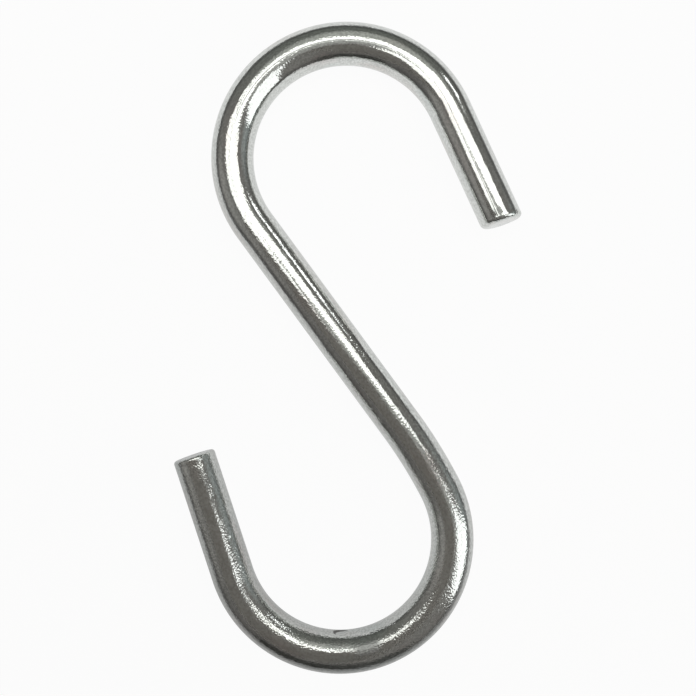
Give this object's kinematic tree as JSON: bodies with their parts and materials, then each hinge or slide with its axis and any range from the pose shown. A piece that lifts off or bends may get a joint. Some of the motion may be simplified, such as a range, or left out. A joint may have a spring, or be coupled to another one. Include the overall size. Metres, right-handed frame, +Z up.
{
  "type": "s hook",
  "caption": "S-shaped hook bent from a length of round zinc-plated steel wire, with an open hook at each end to hang a load from a rail, rod, ring or chain.",
  "frame": {"origin": "bottom centre of the hook's box as it lies flat on its side", "axes": "+Y along the load line through the centres of the two bends, towards the upper hook; +X across the S, the side that the upper hook opens to; +Z up, square to the plane of the S"},
  "size_m": [0.0406, 0.0772, 0.005],
  "materials": {
    "zinc_plate": "bright zinc plate over drawn steel wire, glossy with fine draw lines and plating grain"
  },
  "bodies": {
    "root": {"s_hook": "zinc_plate"}
  },
  "joints": []
}
